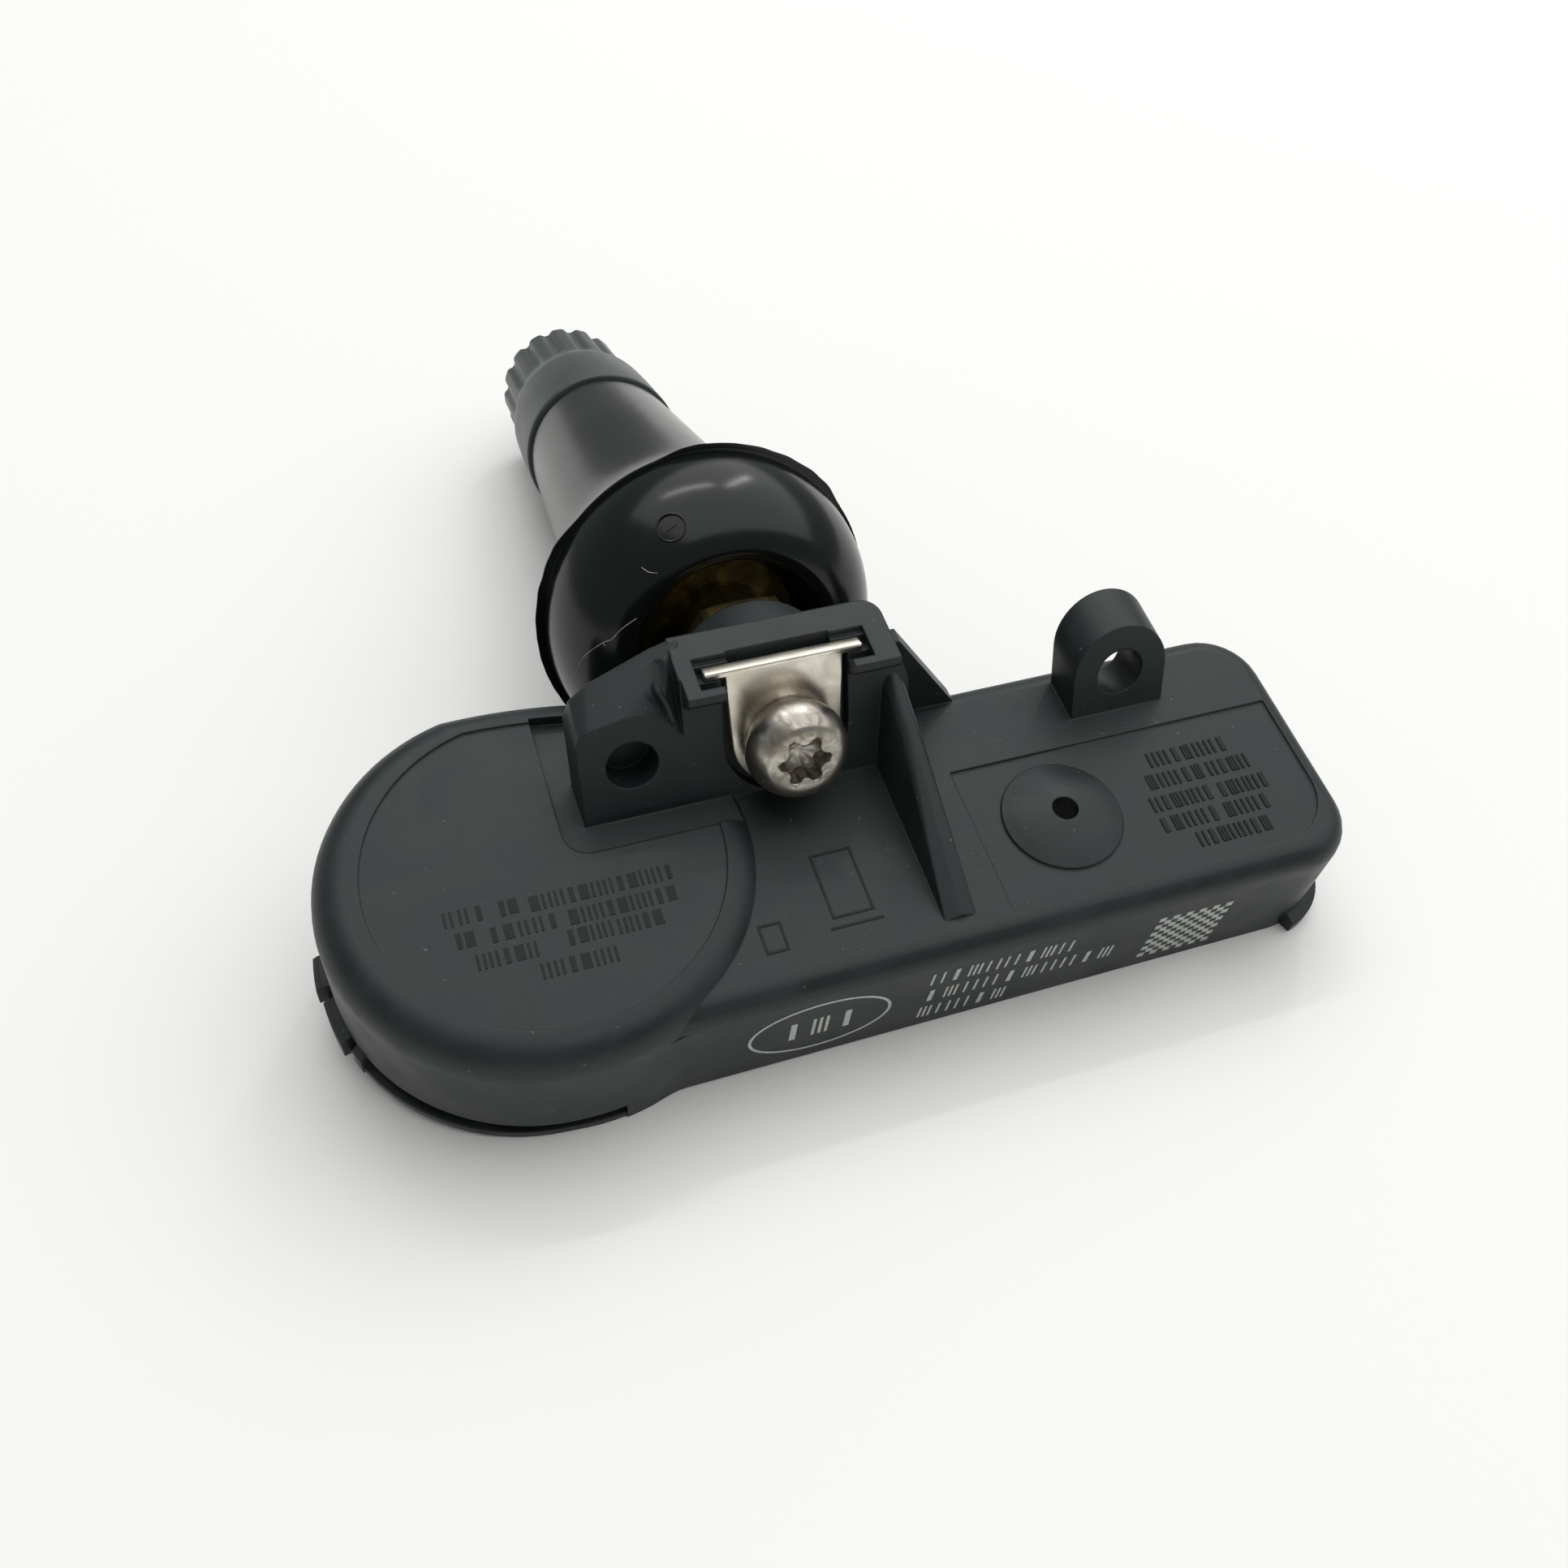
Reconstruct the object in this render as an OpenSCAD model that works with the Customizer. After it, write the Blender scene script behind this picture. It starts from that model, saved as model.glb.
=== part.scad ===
// Tyre pressure sensor with a snap-in rubber valve, lying on its front edge and its valve cap.
// Millimetres. Every module is drawn in the housing's own frame and then laid at rest:
// X along the housing, Y out along the valve, Z up from the base; the valve axis is at X = 0.
// Parts of the valve are drawn in the valve's frame: Y along its axis, outwards.

/* [Housing] */
// Radius of the round battery end
disc_r = 11.1; // [11:0.1:13]
// How far the battery end is drawn out to the left
disc_long = 0.7; // [0:0.1:1]
// Distance of the battery end's middle from the valve axis
disc_off = 13.8; // [13.5:0.1:16]
// Height of the battery end above the base
disc_h = 8.6; // [8.4:0.1:9.5]
// Radius of the battery end's top edge
disc_edge_r = 1.8; // [1:0.1:2.4]
// Furthest point of the battery end's flatter back
disc_back = 10.6; // [9.5:0.1:11]
// Right end of the housing
body_right = 29.8; // [29:0.1:32]
// Front wall of the housing
body_front = -10.5; // [-11:0.1:-10]
// Back wall of the housing
body_back = 5.6; // [5:0.1:6.5]
// Height of the low part of the housing
body_h = 7.8; // [7.2:0.1:8.2]
// Radius of the low part's top edge
body_edge_r = 1.3; // [0.6:0.1:1.8]
// Radius of the upright corners
corner_r = 3.4; // [2:0.1:4.5]
// Wall thickness
wall = 1.2; // [0.9:0.1:1.5]
// Thinner wall round the cell
cell_wall = 0.8; // [0.7:0.1:1.2]

/* [Valve] */
// Slope of the valve below the housing's top
valve_tilt = 22; // [18:1:26]
// Height of the valve axis above the base at Y = 0
axis_h = 11.95; // [11.5:0.05:12.5]
// Radius of the rubber flange
flange_r = 10.1; // [9.5:0.1:10.6]
// Radius of the rubber neck that sits in the rim hole
neck_r = 5.9; // [5.6:0.1:6.2]
// Thickness of rim sheet that the neck takes
rim_gap = 2.4; // [1.8:0.1:3.5]
// Radius of the rubber where the cap meets it
stem_r = 5.45; // [5.2:0.05:5.8]
// Radius of the cap thread on the brass stem
thread_r = 3.85; // [3.7:0.05:3.95]
// Running clearance of the cap thread, on the radius
thread_play = 0.06; // [0.03:0.01:0.1]
// Number of grip flutes on the cap
flutes = 16; // [12:1:20]

/* [Clip and screw] */
// Thickness of the clip plate
clip_t = 0.8; // [0.7:0.1:1]
// Radius of the clip plate's round foot
clip_w = 3.05; // [2.8:0.05:3.3]
// Half width of the clip's cross bar
bar_w = 4.3; // [4:0.05:4.5]
// Radius of the screw head
head_r = 2.75; // [2.5:0.05:3]
// Tip radius of the six-lobed drive
drive_r = 1.37; // [1.3:0.01:1.4]

/* [Electronics] */
// Diameter of the coin cell
cell_d = 20; // [19:0.5:20]
// Thickness of the coin cell
cell_t = 5; // [3.2:0.1:5]
// Thickness of the circuit board
board_t = 1; // [0.8:0.1:1.2]

/* [Hidden] */
$fn = 64;
eps = 0.01;

// Colours
nylon = "#34393c";
nylon_light = "#3d4245";
rubber = "#1d1f21";
brass = "#a8863c";
nickel = "#cfc8b8";
steel = "#9b9790";

// How the sensor lies: it leans on its front edge and the cap
rest_pitch = 12.791;
rest_roll = 0.233;
rest_shift = [-2.00, -21.52, 2.432];

// Housing
disc = [-disc_off, -0.2];
relief_r = 9.26;
relief_depth = 0.12;
back_r = 30;
back_x = -15.8;
step_corner = [-12.6, -0.2];
floor_h = 1;
roof_t = 1.3;
seam_from = 150;
seam_to = 277;
seam_h = 1.6;
neck_in = 0.5;
lip_h = 0.5;
panel_x = 8.8;
panel_depth = 0.12;
dome = [13.75, -4.2];
dome_r = 3.37;
dome_h = 0.75;
port_r = 0.72;
ear_r = 2.87;
ear_hole_r = 1.4;
ear_x = 19.8;
ear_hole_up = -0.73;
lug_x = -8.42;
lug_hole_up = 0.1;
lug_hole_depth = 2;
face_s = 3.05;
back_s = 5.67;
boss_r = 4.65;
boss_end = 9.5;
bore_r = 2.75;

// Frame round the clip: its top is level with the base, its slot is square to the valve
frame_top = 15;
frame_left = -5.5;
frame_right = 6;
frame_s = 1.8;
slot_s = 2.24;
slot_end = 4.13;
slot_w = 4.67;
slot_floor = 3.7;
bar_floor = 4.13;
bar_t = 0.45;
pocket_w = 3.45;
heel_w = 2.8;

// Places along the valve axis
clip_s = 3;
collar_end = 11.5;
recess_s = 15.4;
flange_s = 18;
neck_s = 18.9;
shoulder_s = neck_s + rim_gap;
rubber_end = 44;
thread_start = 42.5;
stem_end = 53.4;
cap_start = 44.15;
cap_end = 58.3;
seat_s = 46;
plug_s = 47.6;
barrel_s = 40.6;

// Radii inside the valve
spigot_r = 2.7;
shank_r = 3.1;
tube_r = 2.9;
brass_flange_r = 4.6;
air_r = 1.75;
chamber_r = 2.6;
barrel_r = 1.5;
pin_r = 0.42;

// Electronics
cell = disc - [0, 0.2];
cell_z = 1.6;
tab_t = 0.15;
board_z = 2.2;
board_top = board_z + board_t;
port_pad_h = 1.9;

// Lays a part of the housing frame on the table
module at_rest() {
  translate(rest_shift)
    rotate([0, rest_roll, 0])
      rotate([rest_pitch, 0, 0])
        children();
}

// The valve's frame: Y outwards along its axis, Z up across it
module on_valve() {
  translate([0, 0, axis_h])
    rotate([-valve_tilt, 0, 0])
      children();
}

// A turned piece in the valve's frame; its outline is [radius, place along the axis]
module turned(outline) {
  rotate([-90, 0, 0])
    rotate_extrude()
      polygon(outline);
}

// A bar along the valve axis from s1 to s2, with its outline drawn across the axis
module along_valve(s1, s2) {
  translate([0, s2, 0])
    rotate([90, 0, 0])
      linear_extrude(s2 - s1)
        children();
}

// Points of an arc, for outlines
function arc(centre, r, a1, a2, n = 8) =
  [for (i = [0:n]) centre + r * [cos(a1 + (a2 - a1) * i / n), sin(a1 + (a2 - a1) * i / n)]];

// An upright slab whose top edge is rounded
module rounded_slab(h, r, steps = 6) {
  hull()
    for (i = [0:steps])
      translate([0, 0, i == 0 ? 0 : h - r + r * sin(90 * i / steps)])
        linear_extrude(i == 0 ? h - r : eps)
          offset(delta = -r * (1 - cos(90 * i / steps)))
            children();
}

module disc_outline(inset = 0, long = disc_long) {
  r = disc_r - inset;
  intersection() {
    union() {
      translate(disc)
        circle(r, $fn = 96);
      translate(disc - [long, 0])
        circle(r, $fn = 96);
      translate(disc - [long, r])
        square([long, 2 * r]);
    }
    flatter_back(inset);
  }
}

// The large circle that flattens the battery end's back
module flatter_back(inset) {
  translate([back_x, disc_back - back_r])
    circle(back_r - inset, $fn = 256);
}

// Part of the battery end where the cover's lip shows under the wall
module seam_sector(h) {
  translate([disc.x, disc.y, -1])
    linear_extrude(h + 1)
      polygon(concat([[0, 0]], arc([0, 0], 20, seam_from, seam_to, 6)));
}

module body_outline(inset = 0) {
  x1 = disc.x;
  x2 = body_right - inset;
  y1 = body_front + inset;
  y2 = body_back - inset;
  r = corner_r - inset;
  polygon(concat(
    [[x1, y2], [x1, y1]],
    arc([x2 - r, y1 + r], r, -90, 0),
    arc([x2 - r, y2 - r], r, 0, 90)));
}

// Small concave fillet where the straight front wall meets the round end
module front_fillet() {
  r = 4;
  y = body_front - r;
  reach = sqrt(pow(disc_r + r, 2) - pow(y - disc.y, 2));
  difference() {
    translate([disc.x + disc_r * reach / (disc_r + r), body_front - 0.5, 0])
      cube([reach - disc_r * reach / (disc_r + r), 1, body_h - body_edge_r]);
    translate([disc.x + reach, y, -1])
      cylinder(r = r, h = body_h + 2);
  }
}

// Outline of the lug or ear, with a round top about its hole
module ear_outline(foot) {
  circle(ear_r);
  translate([-ear_r, foot])
    square([2 * ear_r, -foot]);
}

// The lug: its top sweeps up from its face to the web behind it
module left_lug() {
  hull() {
    along_valve(face_s, face_s + 0.3)
      polygon(concat(
        [[-5.6, -6]],
        arc([lug_x, lug_hole_up], ear_r, 20, 105),
        arc([-10.15, 1.55], 1.1, 105, 180, 4),
        [[-11.25, -6]]));
    along_valve(back_s - 0.5, back_s)
      polygon([
        [-5, -6], [-5, 5.55], [-6.4, 5.2], [-8.3, 4.45],
        [-10, 3.8], [-10.9, 3.1], [-11.3, 2.1], [-11.3, -6]]);
  }
}

// The upright bridge that holds the valve, with the clip's frame at its top
module bridge() {
  intersection() {
    on_valve() {
      along_valve(face_s, back_s)
        polygon([
          [-5.6, -6], [6.9, -6], [6.9, 2], [frame_right, 4.4],
          [frame_right, 7], [-5.2, 7], [-5.6, 5]]);
      // Side view of the frame, with a sloping underside
      translate([frame_left, 0, 0])
        rotate([90, 0, 90])
          linear_extrude(frame_right - frame_left)
            polygon([
              [frame_s, 7], [frame_s, 3.6], [frame_s + 0.15, 3.42],
              [face_s + 0.2, 2.8], [back_s, 2.8], [back_s, 7]]);
    }
    linear_extrude(frame_top)
      frame_plan();
  }
  on_valve()
    along_valve(face_s, boss_end)
      circle(boss_r);
}

// Plan that the bridge keeps within, with the frame's right back corner rounded
module frame_plan() {
  back = 7.4;
  r = 1.15;
  polygon(concat(
    [[-7, back], [-7, -5], [7, -5], [7, 3.4], [frame_right, 4.6]],
    arc([frame_right - r, back - r], r, 0, 90)));
}

// Cut-outs of the bridge: the slot and pocket of the clip, and the stem's bore
module clip_seat() {
  open_top = 7;
  // Slot for the cross bar, deeper in front of it
  along_valve(slot_s, clip_s + eps)
    translate([-slot_w, slot_floor])
      square([2 * slot_w, open_top]);
  along_valve(clip_s, clip_s + clip_t + 0.03)
    translate([-slot_w, bar_floor])
      square([2 * slot_w, open_top]);
  // Ledge behind the bar, with the deep middle that lets the plate bend
  along_valve(clip_s, slot_end)
    translate([-slot_w, bar_floor + bar_t + 0.04])
      square([2 * slot_w, open_top]);
  along_valve(clip_s, slot_end + 0.1)
    translate([-heel_w, 3.3])
      square([2 * heel_w, open_top]);
  // Pocket of the plate, with a round foot
  along_valve(0, clip_s + clip_t) {
    circle(pocket_w);
    translate([-pocket_w, 0])
      square([2 * pocket_w, open_top]);
  }
  along_valve(0, boss_end + 1)
    circle(bore_r);
}

// Long gusset that runs forward from the bridge, with a rounded ridge
module long_gusset() {
  hull() {
    for (p = [[-8.2, body_h + 0.1], [0.8, body_h + 4.2], [4.6, body_h + 5.2]])
      translate([6, p.x, p.y - 0.5])
        rotate([90, 0, 0])
          cylinder(r = 0.6, h = 0.4, $fn = 24);
    translate([5.05, -8.6, body_h - 0.5])
      cube([1.75, 13, 0.5]);
  }
}

// Thin web at the back, from the bridge's end down to the top
module back_gusset() {
  translate([0, body_back - 0.1, 0])
    rotate([90, 0, 0])
      linear_extrude(0.9)
        polygon([
          [5, body_h - 1], [11.3, body_h - 1], [10.8, body_h],
          [6.5, body_h + 6.6], [5, body_h + 6.6]]);
}

// Scooped valley between the lug and the frame, open to the front
module scoop() {
  hull()
    for (p = [
        [-6.35, 4.25, 5.1, 0.6], [-7.75, 4.3, 5, 0.3], [-7.1, 3, 3.5, 0.35],
        [-6.3, 2.8, 2.7, 0.3], [-5.75, 2.8, 2.9, 0.25], [-6.2, 2.4, 5.6, 0.7]])
      translate([p[0], p[1], p[2]])
        sphere(p[3], $fn = 24);
}

// Thin rib that crosses the valley
module scoop_rib() {
  along_valve(face_s, face_s + 1)
    polygon([[-6.2, 2.1], [-5.92, 2.1], [-6.2, 3.3], [-6.58, 4.2], [-6.8, 4.1], [-6.45, 3.25]]);
}

// Plan of the step in the battery end's top that clears the left lug
module step_outline() {
  r = 1.4;
  polygon(concat(
    [[step_corner.x, disc_back + 1]],
    arc(step_corner + [r, r], r, 180, 270),
    [[0, step_corner.y], [0, disc_back + 1]]));
}

module lug_clearance() {
  translate([0, 0, body_h + 0.12])
    linear_extrude(3)
      intersection() {
        step_outline();
        flatter_back(1.6);
      }
}

module shell_outside() {
  rounded_slab(body_h, body_edge_r)
    body_outline();
  rounded_slab(disc_h, disc_edge_r)
    disc_outline();
  front_fillet();
  corner_ledge();
}

module shell_inside() {
  translate([0, 0, -1]) {
    linear_extrude(body_h - roof_t + 1)
      cavity_plan(0);
    linear_extrude(disc_h - roof_t + 1)
      disc_outline(cell_wall);
    // Room for the strap at the cell's edge
    translate([disc.x, -2.5])
      linear_extrude(disc_h - roof_t + 1)
        square([disc_r - cell_wall + 0.6, 5]);
  }
}

// Plan of the cavity, or of a plate that fits in it with a gap
module cavity_plan(gap) {
  body_outline(wall + gap);
  disc_outline(cell_wall + gap);
}

module housing() {
  color(nylon)
    at_rest()
      difference() {
        union() {
          difference() {
            shell_outside();
            lug_clearance();
          }
          translate([dome.x, dome.y, body_h])
            dome_cap();
          bridge();
          on_valve() {
            difference() {
              left_lug();
              scoop();
            }
            scoop_rib();
            along_valve(face_s, back_s)
              translate([ear_x, ear_hole_up])
                ear_outline(-5);
          }
          long_gusset();
          back_gusset();
        }
        shell_inside();
        seam_sector(seam_h);
        // Faint sunk fields on the tops
        translate([0, 0, disc_h - relief_depth])
          linear_extrude(1)
            difference() {
              intersection() {
                translate(disc)
                  circle(relief_r, $fn = 96);
                flatter_back(disc_r - relief_r);
              }
              step_outline();
            }
        sunk_panel();
        on_valve() {
          clip_seat();
          along_valve(0, face_s + lug_hole_depth)
            translate([lug_x, lug_hole_up])
              circle(ear_hole_r);
          along_valve(0, back_s + 1)
            translate([ear_x, ear_hole_up])
              circle(ear_hole_r);
        }
        translate([dome.x, dome.y, 0])
          cylinder(r = port_r, h = 12);
      }
}

// Low dome over the pressure port
module dome_cap() {
  sphere_r = (dome_r * dome_r + dome_h * dome_h) / (2 * dome_h);
  rotate_extrude()
    polygon(concat(
      [[0, -0.5]],
      [[dome_r, -0.5]],
      [for (i = [0:8]) let (r = dome_r * (1 - i / 8))
        [r, sqrt(sphere_r * sphere_r - r * r) - sphere_r + dome_h]]));
}

module sunk_panel() {
  difference() {
    translate([0, 0, body_h - panel_depth])
      linear_extrude(1)
        polygon(concat(
          [[panel_x, body_front + body_edge_r + 0.1]],
          arc([25.2, -5.6], 3.4, -90, 0),
          [[28.6, 0], [panel_x, 0]]));
    translate([dome.x, dome.y, 0])
      cylinder(r = dome_r, h = 20);
  }
}

// Cover under the cavity, with the lip and teeth that show round the battery end
module base_cover() {
  color(nylon_light)
    at_rest() {
      linear_extrude(floor_h)
        cavity_plan(0.05);
      intersection() {
        seam_sector(20);
        union() {
          // Lip under the wall, wider at the left
          linear_extrude(lip_h)
            hull() {
              disc_outline(0.1, 0);
              disc_outline(0.2, disc_long + 0.5);
            }
          // Neck that the wall stands on
          linear_extrude(seam_h)
            difference() {
              disc_outline(neck_in);
              disc_outline(neck_in + 1.1);
            }
        }
      }
      snap_tooth(172, 181, 12.6);
      snap_tooth(184.5, 197, 12.4);
      snap_tooth(199.5, 203.5, 12.1);
      // Posts under the board
      for (p = [[-1.5, 3], [-1.5, -8], [27, 2.2], [27, -7.2]])
        translate([p.x, p.y, floor_h - eps])
          cylinder(r = 0.9, h = board_z - floor_h + eps);
    }
}

// One tooth of the cover's snap edge, between two angles about the battery end's middle
module snap_tooth(a1, a2, r) {
  inner = disc_r - neck_in - 0.3;
  translate(disc)
    rotate([0, 0, a1])
      rotate_extrude(angle = a2 - a1)
        polygon([[inner, 0], [r, 0], [r, seam_h - 0.3], [r - 0.3, seam_h], [inner, seam_h]]);
}

// Ledge round the foot of the right front corner
module corner_ledge() {
  translate([body_right - corner_r, body_front + corner_r])
    rotate([0, 0, -78])
      rotate_extrude(angle = 66)
        polygon([[corner_r, 0], [corner_r + 0.7, 0.2], [corner_r + 0.7, 0.9], [corner_r, 1.2]]);
}

// Foam that stops the cell from rattling
module cell_pad() {
  color("#8a8f86")
    at_rest()
      translate([cell.x, cell.y, floor_h])
        cylinder(r = 7, h = cell_z - tab_t - floor_h);
}

module battery_cell() {
  r = cell_d / 2;
  color("#b9bcbd")
    at_rest()
      translate([cell.x, cell.y, cell_z])
        rotate_extrude()
          polygon([
            [0, 0], [r - 1.6, 0], [r - 1.4, 0.35], [r - 0.3, 0.35], [r, 0.8],
            [r, cell_t - 0.3], [r - 0.3, cell_t], [0, cell_t]]);
}

// Spot-welded strap from the top of the cell, down to the board
module battery_tab_top() {
  x = disc.x + cell_d / 2 + 0.3;
  top = cell_z + cell_t;
  color(nickel)
    at_rest() {
      translate([disc.x - 4, -2, top])
        cube([x - disc.x + 4 + tab_t, 4, tab_t]);
      translate([x, -2, board_top])
        cube([tab_t, 4, top - board_top + tab_t]);
      translate([x, -2, board_top])
        cube([2, 4, tab_t]);
    }
}

// Strap from the underside of the cell to the underside of the board
module battery_tab_bottom() {
  color(nickel)
    at_rest() {
      translate([disc.x - 4, -1.5, cell_z - tab_t])
        cube([16.3, 3, tab_t]);
      translate([disc.x + 12.15, -1.5, cell_z - tab_t])
        cube([tab_t, 3, board_z - cell_z + tab_t]);
      translate([disc.x + 12.15, -1.5, board_z - tab_t])
        cube([1.6, 3, tab_t]);
    }
}

module circuit_board() {
  gap = wall + 0.25;
  color("#1f5c3a")
    at_rest()
      translate([0, 0, board_z])
        linear_extrude(board_t)
          difference() {
            intersection() {
              body_outline(gap);
              translate([-5.5, -20])
                square([50, 40]);
            }
            translate(disc)
              circle(cell_d / 2 + 0.6);
          }
}

// A component that stands on the board, with its lower left corner at p
module on_board(p, size) {
  translate([p.x, p.y, board_top])
    cube(size);
}

// Pressure sensor and its controller in one package, under the port
module pressure_sensor() {
  color("#24262a")
    at_rest()
      difference() {
        on_board([dome.x - 3, dome.y - 3], [6, 6, port_pad_h]);
        translate([dome.x, dome.y, board_top + 0.8])
          cylinder(r = 1.1, h = 4);
      }
}

module port_gasket() {
  z = board_top + port_pad_h;
  color("#6f3b34")
    at_rest()
      translate([dome.x, dome.y, z])
        difference() {
          cylinder(r = 2.2, h = body_h - roof_t - 0.15 - z);
          translate([0, 0, -1])
            cylinder(r = 1.1, h = 5);
        }
}

module vent_filter() {
  color("#e8e6df")
    at_rest()
      translate([dome.x, dome.y, body_h - roof_t - 0.15])
        cylinder(r = 2.2, h = 0.15);
}

module transmitter_chip() {
  color("#222428")
    at_rest()
      on_board([19.6, -3.6], [4, 4, 0.9]);
}

module crystal() {
  color("#c3c4c2")
    at_rest()
      on_board([19.8, -7.6], [3.2, 2.5, 0.8]);
}

module capacitors() {
  color("#9c7a4e")
    at_rest() {
      for (x = [3.4, 5.4, 7.4], y = [-1.2, 1.4])
        on_board([x, y], [1.2, 0.8, 0.7]);
      for (y = [-7.8, -5.9])
        on_board([7.4, y], [2, 1.25, 1.1]);
    }
}

// Low-frequency wake-up coil: ferrite bobbin and its winding
module lf_coil_core() {
  color("#3b3a3a")
    at_rest() {
      on_board([-1.6, -7.9], [1, 2.6, 2.6]);
      on_board([5.2, -7.9], [1, 2.6, 2.6]);
      translate([-0.6, -7.3, board_top + 0.6])
        cube([5.8, 1.4, 1.4]);
    }
}

module lf_coil_winding() {
  color("#a5562c")
    at_rest()
      translate([-0.6, -6.6, board_top + 1.3])
        rotate([0, 90, 0])
          difference() {
            translate([-1.15, -1.15, 0])
              cube([2.3, 2.3, 5.8]);
            translate([-0.7, -0.7, -1])
              cube([1.4, 1.4, 8]);
          }
}

// Wire loop round the right end of the board
module antenna() {
  r = 0.35;
  z = body_h - roof_t - 0.9;
  corners = [
    [17.5, -8.4, board_top], [17.5, -8.4, z], [25.6, -8.4, z],
    [27.3, -6.7, z], [27.3, 2, z], [27.3, 2, board_top]];
  color(brass)
    at_rest()
      for (i = [0:len(corners) - 2]) {
        wire(corners[i], corners[i + 1], r);
        if (i > 0)
          translate(corners[i])
            sphere(r, $fn = 24);
      }
}

// A straight piece of round wire between two points
module wire(a, b, r) {
  d = b - a;
  translate(a)
    rotate([0, acos(d.z / norm(d)), atan2(d.y, d.x)])
      cylinder(r = r, h = norm(d), $fn = 24);
}

// T-shaped spring plate that the screw pulls against the bridge
module retaining_clip() {
  color(nickel)
    at_rest()
      on_valve()
        along_valve(clip_s, clip_s + clip_t)
          difference() {
            polygon(concat(
              arc([0, 0], clip_w, 180, 360, 24),
              [[clip_w + 0.15, bar_floor + 0.02], [bar_w, bar_floor + 0.02], [bar_w, bar_floor + bar_t],
               [-bar_w, bar_floor + bar_t], [-bar_w, bar_floor + 0.02], [-clip_w - 0.15, bar_floor + 0.02]]));
            circle(1.65);
          }
}

// Six-lobed outline of the drive
function lobes(r, depth) =
  [for (i = [0:71]) let (a = i * 5) (r - depth / 2 + depth / 2 * cos(6 * a)) * [cos(a), sin(a)]];

module valve_screw() {
  color(steel)
    at_rest()
      on_valve() {
        difference() {
          turned(concat(
            [[0, 0.1], [1.75, 0.1]],
            arc([1.25, 1.6], 1.5, -70, 0, 6),
            [[head_r, 2.1], [2.35, 2.6], [2.2, clip_s], [1.45, clip_s]],
            [[1.45, 11.6], [0.9, 12.1], [0, 12.1]]));
          along_valve(-1, 1.5)
            polygon(lobes(drive_r, 0.38));
        }
      }
}

// Brass stem: spigot in the boss, hexagon, shank with an air hole, and the cap's thread
module valve_stem() {
  color(brass)
    at_rest()
      on_valve()
        difference() {
          union() {
            turned([
              [0, clip_s + clip_t], [spigot_r, clip_s + clip_t], [spigot_r, collar_end],
              [shank_r, collar_end], [shank_r, recess_s], [brass_flange_r, recess_s],
              [brass_flange_r, recess_s + 1.1], [tube_r, recess_s + 1.1], [tube_r, thread_start],
              [thread_r - 0.3, thread_start], [thread_r, thread_start + 0.3], [thread_r, stem_end - 0.6],
              [thread_r - 0.6, stem_end], [0, stem_end]]);
            intersection() {
              along_valve(boss_end, collar_end)
                circle(4.4, $fn = 6);
              turned([
                [0, boss_end], [3.7, boss_end], [4.4, boss_end + 0.4],
                [4.4, collar_end - 0.5], [3.6, collar_end], [0, collar_end]]);
            }
          }
          along_valve(0, 12.3)
            circle(1.5);
          turned([
            [0, 13.2], [air_r, 13.2], [air_r, seat_s], [chamber_r, seat_s + 0.8],
            [chamber_r, stem_end + 1], [0, stem_end + 1]]);
          translate([0, 14.2, 0])
            rotate([0, 90, 0])
              cylinder(r = 0.8, h = 10, center = true);
        }
}

// Snap-in rubber: flange bulb with a sunk front, rim groove, and the tapering stem
module rubber_body() {
  bulb = 14;
  color(rubber)
    at_rest()
      on_valve()
        turned(concat(
          [[brass_flange_r, recess_s + 1.1], [brass_flange_r, recess_s - 0.1]],
          [[5.1, 14.3], [5.5, 12.9], [5.7, 12.4]],
          [for (i = [0:bulb]) let (a = 6 + 84 * i / bulb)
            [neck_r + (flange_r - neck_r - 0.25) * sin(a), flange_s - 5.85 * cos(a)]],
          [[flange_r, flange_s + 0.02], [flange_r, flange_s + 0.2], [9.3, flange_s + 0.3],
           [7.6, flange_s + 0.65], [6.4, flange_s + 0.95]],
          arc([neck_r + 0.4, neck_s + 0.45], 0.4, 260, 180, 4),
          arc([neck_r + 0.4, shoulder_s - 0.4], 0.4, 180, 110, 4),
          [[7, shoulder_s + 0.25], [7.35, shoulder_s + 0.7], [7.45, shoulder_s + 1.4],
           [7.35, shoulder_s + 2.2], [6.95, shoulder_s + 3.7], [6.65, shoulder_s + 6],
           [6.3, 32], [stem_r + 0.05, rubber_end - 0.5], [stem_r - 0.3, rubber_end],
           [thread_r, rubber_end], [thread_r, thread_start + 0.3], [thread_r - 0.3, thread_start],
           [tube_r, thread_start], [tube_r, recess_s + 1.1]]));
}

// Valve core
module core_plug() {
  color(brass)
    at_rest()
      on_valve()
        difference() {
          turned([
            [barrel_r, plug_s], [2.2, plug_s], [chamber_r - 0.02, plug_s + 0.4], [chamber_r - 0.02, 51.6],
            [2, 51.9], [2, 52.6], [1.2, 52.6], [1.2, plug_s + 0.6], [barrel_r, plug_s + 0.6]]);
          for (side = [-1, 1])
            translate([side * 1.5 - (side > 0 ? 0 : 3), 51.95, -3])
              cube([3, 2, 6]);
        }
}

module core_gasket() {
  color("#a33b33")
    at_rest()
      on_valve()
        turned([
          [barrel_r, seat_s], [air_r, seat_s], [chamber_r - 0.02, seat_s + 0.78],
          [2.2, plug_s], [barrel_r, plug_s]]);
}

module core_barrel() {
  color(brass)
    at_rest()
      on_valve()
        turned([
          [0.65, barrel_s], [barrel_r, barrel_s], [barrel_r, plug_s + 0.6], [1.1, plug_s + 0.6],
          [1.1, barrel_s + 0.6], [0.65, barrel_s + 0.6]]);
}

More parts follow.
